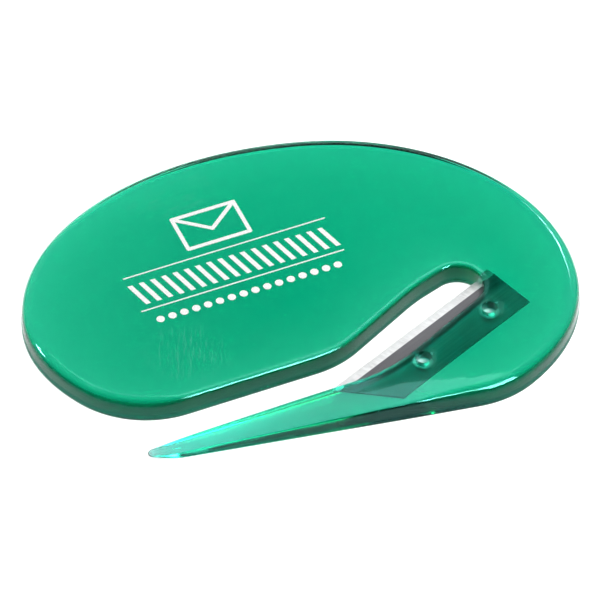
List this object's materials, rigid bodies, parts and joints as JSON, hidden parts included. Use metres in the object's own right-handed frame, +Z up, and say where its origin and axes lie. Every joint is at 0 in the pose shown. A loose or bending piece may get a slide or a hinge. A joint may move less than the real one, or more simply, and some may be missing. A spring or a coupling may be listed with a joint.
{
  "type": "letter opener",
  "caption": "Flat oval letter opener in clear green plastic, with a tapered finger, a slot and a steel blade set across the slot.",
  "frame": {"origin": "middle of the outline's box, on the underside that it rests on", "axes": "+X along the printed rules, from the finger's tip towards the slot's closed end; +Y from the finger towards the back; +Z up through the printed face"},
  "size_m": [0.0784, 0.059, 0.0038],
  "materials": {
    "green_plastic": "clear emerald-green moulded plastic, polished",
    "steel": "ground blade steel with a brighter bevel",
    "ink": "off-white pad-printing ink"
  },
  "bodies": {
    "root": {"body": "green_plastic", "blade": "steel", "print_envelope": "ink", "print_rules": "ink", "print_bars": "ink", "print_dots": "ink"}
  },
  "joints": []
}
